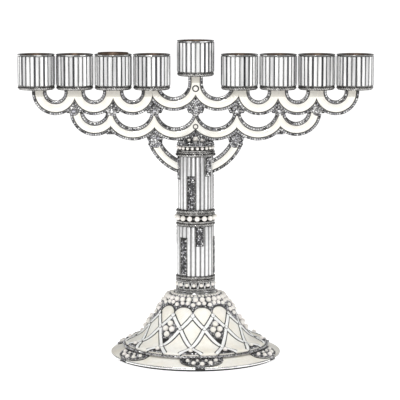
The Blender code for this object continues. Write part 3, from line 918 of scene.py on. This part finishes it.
def collars():
    soup = collar(100.2, 112.3, 14.8, 12.6, 2.4)
    rope(soup, 13.9, 111.2, 1.05, 46)
    rope(soup, 13.7, 109.6, 0.6, 50)
    rope(soup, 13.9, 101.3, 1.05, 46)
    rope(soup, 13.8, 103.0, 0.6, 50)
    for z in (109.0, 103.5):
        ledge(soup, z, 12.4, 14.6, 14.75, SILVER)
    for i in range(16):
        t = 2 * math.pi * (i + 0.5) / 16 + 0.08
        at, size = polar(14.0, t, 106.25), (0.8, 0.8, 1.0)
        bead(soup, at, polar(1, t, 0), size, 0.3)
    soup.emit("middle_collar_roped", "stand", ["middle_collar"])
    bed = (12.5, 12.9, 104.6, 107.9)
    strand("middle_strand", "middle_pearls", 14.5, 106.25, 1.98, 16, 0.08, bed)

    soup = collar(48.3, 62.0, 15.6, 12.8, 4.0)
    for z, r, thick in ((60.9, 14.2, 1.0), (59.0, 14.3, 0.75), (51.9, 14.4, 0.6)):
        rope(soup, r, z, thick, 48)
    for z in (57.8, 52.7):
        ledge(soup, z, 12.4, 15.0, 15.2, BRIGHT)
    lathe(soup, [(12.4, 50.2), (15.1, 50.2), (15.3, 50.6), (15.1, 51.0), (12.4, 51.0)], BRIGHT)
    lathe(soup, [(12.4, 48.3), (15.3, 48.4), (15.5, 48.9), (15.3, 49.4), (12.4, 49.4)], BRIGHT)
    for i in range(16):
        for way in (-1, 1):
            for k in range(6):
                t = 2 * math.pi * (i + way * (0.04 + 0.2 * k / 5)) / 16 + math.radians(6.25)
                at = polar(14.3, t, 53.4 + 3.9 * k / 5)
                bead(soup, at, polar(1, t, 0), 0.5, 0.1, BRIGHT)
    soup.emit("lower_collar_roped", "stand", ["lower_collar"])
    bed = (12.6, 13.0, 53.8, 56.6)
    strand("lower_strand", "lower_pearls", 14.3, 55.4, 1.45, 16, math.radians(-5.0), bed)


# ---------------- base


def smooth_profile(points, per=10):
    """Catmull-Rom curve through the profile points."""

    def blend(a, b, c, d, t):
        square = (2 * a - 5 * b + 4 * c - d) * t * t
        cube = (3 * b - a - 3 * c + d) * t**3
        return 0.5 * (2 * b + (c - a) * t + square + cube)

    padded = [points[0]] + list(points) + [points[-1]]
    out = []
    for corners in zip(padded, padded[1:], padded[2:], padded[3:]):
        for i in range(per):
            out.append(tuple(blend(*(p[k] for p in corners), i / per) for k in (0, 1)))
    return out + [points[-1]]


CURVE = np.array(smooth_profile(DOME))
RUN = np.concatenate([[0], np.cumsum(np.linalg.norm(np.diff(CURVE, axis=0), axis=1))])


def run_at(radius):
    return float(np.interp(radius, CURVE[:, 0], RUN))


def on_dome(angle, s, lift=0.0):
    """(point, normal) on the dome at an angle and a distance s down its profile."""
    s = min(max(s, 0.0), float(RUN[-1]))
    r, z = np.interp(s, RUN, CURVE[:, 0]), np.interp(s, RUN, CURVE[:, 1])
    e = 0.4
    dr = np.interp(s + e, RUN, CURVE[:, 0]) - np.interp(s - e, RUN, CURVE[:, 0])
    dz = np.interp(s + e, RUN, CURVE[:, 1]) - np.interp(s - e, RUN, CURVE[:, 1])
    size = math.hypot(dr, dz)
    nr, nz = -dz / size, dr / size
    normal = Vector(polar(nr, angle, nz))
    return Vector(polar(r, angle, z)) + normal * lift, normal


S_ARCH, S_A, S_B, S_C = run_at(25.4), run_at(29.3), run_at(34.6), run_at(45.3)
S_END = float(RUN[-1])
A0 = math.radians(-4.2)
LATTICE = 12  # repeats of the ribbons round the dome
STEP = 2 * math.pi / LATTICE
JEWELLED = (2, 3, 8, 9)  # arches filled with stones


def strip(soup, path, outline, finish, dark=0.0):
    """Closed bar along points (angle, s) on the dome. outline is (across, lift) points."""
    spots = [on_dome(a, s) for a, s in path]
    points = []
    for i, (p, normal) in enumerate(spots):
        ahead = spots[min(i + 1, len(spots) - 1)][0] - spots[max(i - 1, 0)][0]
        side = normal.cross(ahead).normalized()
        points += [p + side * u + normal * h for u, h in outline]
    soup.add(points, tube_faces(len(spots), len(outline)), finish, True, 0.5, dark)


def slab_faces(cols, rows):
    """Quads of a thin plate: an upper and a lower grid of points, joined round the rim."""
    w, size = rows + 1, (rows + 1) * (cols + 1)
    faces = []
    for i in range(cols):
        for j in range(rows):
            a = i * w + j
            faces.append((a, a + 1, a + w + 1, a + w))
            faces.append((size + a, size + a + w, size + a + w + 1, size + a + 1))
    rim = [i * w for i in range(cols + 1)] + [cols * w + j for j in range(1, w)]
    rim += [i * w + rows for i in range(cols - 1, -1, -1)] + list(range(rows - 1, 0, -1))
    return faces + [(a, b, b + size, a + size) for a, b in zip(rim, rim[1:] + rim[:1])]


def patch(soup, low, high, edges, lift, rows=10, cols=14, place=on_dome, under=-0.4):
    """Thin dark bed between two angles; edges(angle) gives where it starts and ends."""
    points = []
    for side_lift in (lift, under):
        for i in range(cols + 1):
            a = low + (high - low) * i / cols
            start, end = edges(a)
            for j in range(rows + 1):
                points.append(place(a, start + (end - start) * j / rows, side_lift)[0])
    soup.add(points, slab_faces(cols, rows), OXIDE, True, 0.5, 0.2)


def arch_edge(angle):
    """How far down the pavé collar reaches: an arch, or to the ribbons where it is jewelled."""
    place = ((angle - A0) / STEP) % LATTICE
    u = abs(place % 1.0 - 0.5) * 2
    if int(place) in JEWELLED:
        return S_A + (S_B - S_A) * (1 - u) - 0.9
    return S_ARCH + (S_A - 0.4 - S_ARCH) * (1 - math.sqrt(max(0.0, 1 - u**2.3)))


def ribbons(soup):
    raised = ((-1.2, -0.3), (-1.2, 0.35), (-0.9, 0.6), (0.9, 0.6), (1.2, 0.35), (1.2, -0.3))
    shadow = ((-2.0, -0.3), (-2.0, 0.2), (2.0, 0.2), (2.0, -0.3))
    for k in range(LATTICE):
        for way in (-1, 1):
            start = A0 + k * STEP
            stops = [(start, S_A), (start + way * STEP / 2, S_B), (start + way * STEP, S_C)]
            stops.append((start + way * (STEP + math.radians(9.0)), S_END - 0.3))
            path = []
            for (a, s), (b, t) in zip(stops, stops[1:]):
                path += [(a + (b - a) * i / 12, s + (t - s) * i / 12) for i in range(12)]
            path.append(stops[-1])
            strip(soup, path, shadow, OXIDE, 0.3)
            strip(soup, path, raised, RIBBON)


def dome_nodes(soup):
    for k in range(LATTICE):
        for angle, s, size in ((0.0, S_A, 1.35), (0.5, S_B, 1.1), (0.0, S_C, 1.45)):
            at, normal = on_dome(A0 + (k + angle) * STEP, s, 0.4)
            wide = size + 0.6
            stamp(soup, BALL, at, normal, (wide, wide, 0.5), OXIDE, smooth=True)
            cut = [random.choice((PAVE, RIBBON, RIBBON)) for _ in BRILLIANT[1]]
            cut_size = (size + 0.2, size + 0.2, 0.8)
            stamp(soup, BRILLIANT, at + normal * 0.5, normal, cut_size, cut, tone=1.0)


def jewelled_diamonds(soup):
    """Every second diamond of the lattice is filled with four pearls on a pavé bed."""
    for k in range(6):
        mid = A0 + (2 * k + 1) * STEP

        def edges(angle):
            u = min(1.0, abs(angle - mid) / (STEP / 2))
            return S_A + (S_B - S_A) * u, S_C - (S_C - S_B) * u

        patch(soup, mid - STEP / 2, mid + STEP / 2, edges, 0.12)
        centre = S_B + 0.9
        for across, down in ((0.0, -4.5), (-2.7, -0.1), (2.7, -0.1), (0.0, 4.4)):
            r = float(np.interp(centre + down, RUN, CURVE[:, 0]))
            pearl(soup, *on_dome(mid + across / r, centre + down, 1.0), 2.2)
        for row in range(14):
            s = S_A + 2.2 + row * 1.25
            r = float(np.interp(s, RUN, CURVE[:, 0]))
            for col in range(-6, 7):
                angle = mid + (col + 0.5 * (row % 2)) * 1.4 / r
                start, end = edges(angle)
                if start + 2.0 < s < end - 2.0:
                    gem(soup, *on_dome(angle, s, 0.25), 0.64, 0.72)


def dome_collar(soup):
    """Pavé bed round the neck of the dome, scalloped, with its rows of pearls."""
    for k in range(LATTICE):
        low = A0 + k * STEP
        patch(soup, low, low + STEP, lambda a: (0.3, arch_edge(a)), 0.35, 10, 24)
    for t in round_ring(27):
        pearl(soup, *on_dome(t, run_at(20.2) + 1.1, 0.8), 2.05)
    for i, t in enumerate(round_ring(36, A0)):
        drop = 1.4 if i % 3 == 0 else 0.0
        pearl(soup, *on_dome(t, run_at(22.9) + 0.6 + drop, 0.7), 1.6)
    for t in round_ring(40):
        pearl(soup, *on_dome(t, 2.0, 0.5), 1.15)
    for t in round_ring(288, A0):
        bead(soup, *on_dome(t, arch_edge(t) - 0.35, 0.35), 0.38, 0.75)
    for k in JEWELLED:
        for across, down in ((0.0, 1.2), (-5.0, 4.6), (5.0, 4.6), (0.0, 8.0)):
            angle = A0 + (k + 0.5) * STEP + math.radians(across)
            pearl(soup, *on_dome(angle, S_ARCH + down, 0.9), 1.6)
    for row in range(21):
        s = 0.9 + row * 1.25
        r = float(np.interp(s, RUN, CURVE[:, 0]))
        count = int(2 * math.pi * r / 1.35)
        for i in range(count):
            t = 2 * math.pi * (i + 0.5 * (row % 2)) / count
            if s < arch_edge(t) - 0.9:
                gem(soup, *on_dome(t, s, 0.5), 0.66, 0.66)


def toe_triangles(soup):
    """Small pavé triangles under the lower nodes, one pearl in each."""
    for k in range(LATTICE):
        mid = A0 + k * STEP
        half = math.radians(7.0)

        def edges(angle):
            u = min(1.0, abs(angle - mid) / half)
            return S_C + 1.6 + (S_END - S_C - 2.0) * u, S_END - 0.2

        patch(soup, mid - half, mid + half, edges, 0.12, 4, 8)
        pearl(soup, *on_dome(mid, S_END - 4.0, 0.8), 1.7)
        for col in range(-4, 5):
            gem(soup, *on_dome(mid + col * 1.35 / 53, S_END - 0.7, 0.4), 0.66, 0.6)


def dome():
    soup = Soup()
    inner = [(r - 2.2, z - 2.0) for r, z in reversed(DOME[2:-1])]
    wall = [(3.0, 48.0)] + [tuple(p) for p in CURVE] + [(53.5, 8.1), (51.2, 8.1)]
    wall += inner + [(16.0, 42.7), (3.0, 42.7)]
    lathe(soup, wall, CREAM_PAINTED_LIT, 192)
    ribbons(soup)
    dome_nodes(soup)
    jewelled_diamonds(soup)
    toe_triangles(soup)
    soup.emit("dome_lattice", "stand", ["base_dome"], "cream_enamel")
    soup = Soup()
    dome_collar(soup)
    soup.emit("dome_pearl_collar", "stand", ["dome_pearls"], "white_pearl")


def on_plate(angle, radius, lift=0.0):
    """(point, normal) on the sloping top of the foot plate."""
    rim = ((53.0, 8.2), (56.0, 6.7), (60.0, 5.0), (63.1, 3.8), (64.5, 3.3), (65.1, 2.6))
    z = float(np.interp(radius, [p[0] for p in rim], [p[1] for p in rim]))
    normal = Vector(polar(0.40, angle, 0.917))
    return Vector(polar(radius, angle, z)) + normal * lift, normal


def foot():
    soup = Soup()
    wall = [
        (46.0, 1.5, 0.5), (64.0, 1.5, 0.9), (64.7, 1.8, 0.6), (64.9, 2.2), (64.8, 2.8),
        (64.4, 3.3), (63.9, 3.6), (63.6, 3.55, 0.2), (63.4, 3.62, 0.1), (63.1, 3.8),
        (60.0, 5.0), (56.0, 6.7), (53.6, 7.9), (46.0, 7.9, 0.5),
    ]
    kinds = [SILVER] * 2 + [BRIGHT] * 3 + [CREAM_PAINTED_LIT] * 7 + [SILVER] * 2
    lathe(soup, wall, kinds, 240)
    soup.emit("foot_plate", "stand", ["base_plate"])

    soup = Soup()
    rope(soup, 54.5, 8.7, 0.88, 120)
    rope(soup, 53.9, 9.6, 0.42, 180)
    for t in round_ring(228):
        gem(soup, polar(55.0, t, 9.3), polar(0.6, t, 0.8), 0.66, 0.4)
    for k in range(6):
        medallion(soup, math.radians(4.5 + 60.0 * k))
    soup.emit("foot_rope", "stand", ["medallion_ring"])


def medallion(soup, mid):
    """Half-moon of pearls on a pavé bed, hung from the rope over the plate."""
    half = math.radians(16.8)

    def reach(angle):
        u = min(1.0, abs(angle - mid) / half)
        return 55.0 + 9.1 * math.sqrt(max(0.0, 1 - u**2.1))

    bed = (mid - half, mid + half)
    patch(soup, *bed, lambda a: (54.4, reach(a)), 0.7, 6, 28, on_plate, -0.3)
    for i in range(49):
        a = mid - half + 2 * half * i / 48
        bead(soup, *on_plate(a, reach(a) - 0.3, 0.8), 0.42, 0.2)
    arc = ((-10.3, 57.5, 1.5), (-6.0, 60.2, 1.65), (0.0, 61.3, 1.8))
    arc += ((6.0, 60.2, 1.65), (10.3, 57.5, 1.5), (-3.2, 57.3, 1.15), (3.2, 57.3, 1.15))
    for degrees, r, size in arc:
        pearl(soup, *on_plate(mid + math.radians(degrees), r, 1.2), size)
    for row in range(6):
        r = 55.9 + row * 1.35
        for col in range(-12, 13):
            a = mid + (col + 0.5 * (row % 2)) * 1.5 / r
            if abs(a - mid) < half and r < reach(a) - 0.9:
                gem(soup, *on_plate(a, r, 0.8), 0.62, 0.7)
    place, wide = mid - math.radians(1.5), math.radians(3.2)
    drape = ((62.4, 4.5), (63.9, 4.0), (64.8, 3.3), (65.1, 2.6))
    drape += ((65.1, 1.7), (64.0, 1.7), (62.4, 3.6))
    sector(soup, drape, place - wide, place + wide, 6, 0.3)
    tab = ((63.2, 4.4, 0.3), (64.3, 3.9, 0.6), (64.72, 3.0, 0.9), (64.72, 2.1, 1.0))
    for r, z, out in tab:
        for col in range(-2, 3):
            a = place + col * 1.35 / r
            gem(soup, polar(r, a, z), polar(out, a, 1.05 - out), 0.58, 0.5)


def plain_nodes():
    """Pieces inside and underneath keep the CAD shape and get their finish."""
    finishes = (("tie_rod", STEEL), ("washer", STEEL), ("nut", STEEL), ("felt_pad", FELT))
    for name, finish in finishes:
        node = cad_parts[name]
        for slot in node.material_slots:
            slot.material = finish


# ---------------- stage


def stage():
    """Round sheet of pale paper, wide enough to fill the view from any side."""
    mesh = bpy.data.meshes.new("floor")
    points, faces = [(0.0, 0.0, 0.0)], []
    rings, around = (0.3, 1.0, 3.0, 10.0, 40.0), 64
    for r in rings:
        points += [(r * math.cos(t), r * math.sin(t), 0.0) for t in round_ring(around)]
    for i in range(around):
        n = (i + 1) % around
        faces.append((0, 1 + i, 1 + n))
        for j in range(len(rings) - 1):
            a, b = 1 + j * around, 1 + (j + 1) * around
            faces.append((a + i, b + i, b + n, a + n))
    mesh.from_pydata(points, [], faces)
    paper, _, shader = new_material("floor_paper")
    tune(shader, base_color=(0.85, 0.85, 0.85, 1), roughness=1.0)
    tune(shader, emission_color=(1, 1, 1, 1), emission_strength=0.9)
    mesh.materials.append(paper)
    floor = add_object("floor", mesh)


def lamp(name, at, target, size, power):
    data = bpy.data.lights.new(name, "AREA")
    data.shape = "RECTANGLE"
    data.size, data.size_y = size
    data.energy = power
    made = add_object(name, data)
    made.location = at
    made.rotation_euler = (Vector(target) - Vector(at)).to_track_quat("-Z", "Y").to_euler()


def studio():
    lamp("key", (-0.2, -1.45, 0.78), (0, 0, 0.15), (0.16, 0.16), 7.5)
    lamp("fill", (1.2, -0.5, 0.5), (0, 0, 0.12), (0.3, 0.9), 1.0)
    lamp("side", (-1.2, -0.4, 0.6), (0, 0, 0.12), (0.3, 0.9), 0.25)
    lamp("top", (0.0, -0.1, 1.4), (0, 0, 0.1), (0.9, 0.4), 9.0)
    world = bpy.data.worlds.new("studio")
    world.use_nodes = True
    tree = world.node_tree
    patches = noise(tree, 2.6, 1.0, (1.0, 1.0, 0.35), "Generated")
    flags = ramp(tree, patches, ((0.42, grey(0.05)), (0.5, grey(0.4)), (0.58, grey(1.0))))
    coords = tree.nodes.new("ShaderNodeTexCoord")
    height = tree.nodes.new("ShaderNodeSeparateXYZ")
    tree.links.new(coords.outputs["Generated"], height.inputs["Vector"])
    horizon = ramp(tree, height.outputs["Z"], ((0.05, grey(1.0)), (0.09, grey(0.0))))
    background = tree.nodes["Background"]
    tree.links.new(mix(tree, horizon, flags, grey(2.5)), background.inputs["Color"])
    tune(background, strength=0.4)
    scene = bpy.context.scene
    scene.world = world
    scene.view_settings.view_transform = "Standard"


def camera():
    data = bpy.data.cameras.new("camera")
    data.lens = 176.5
    data.sensor_width = 36.0
    data.shift_x = 0.011
    data.clip_end = 120
    made = add_object("camera", data)
    made.location = (0.0, -1.472, 0.316)
    made.rotation_euler = (math.radians(90 - CAMERA_DIP), 0, 0)
    bpy.context.scene.camera = made


for cup, (cup_x, cup_z) in CUPS.items():
    cup_shell(cup, cup_x, cup_z)
    cup_crystals(cup, cup_x, cup_z)
    cup_liner(cup, cup_x, cup_z)
tiers()
for number, stone_x in enumerate(STONE_X):
    junction(f"junction_stone_{number + 1}", stone_x, STONE_Z)
cluster("lower_cluster_left", -30.4, 165.6)
cluster("lower_cluster_right", 30.4, 165.6)
capital()
drums()
collars()
dome()
foot()
plain_nodes()
stage()
studio()
camera()
bpy.context.view_layer.update()
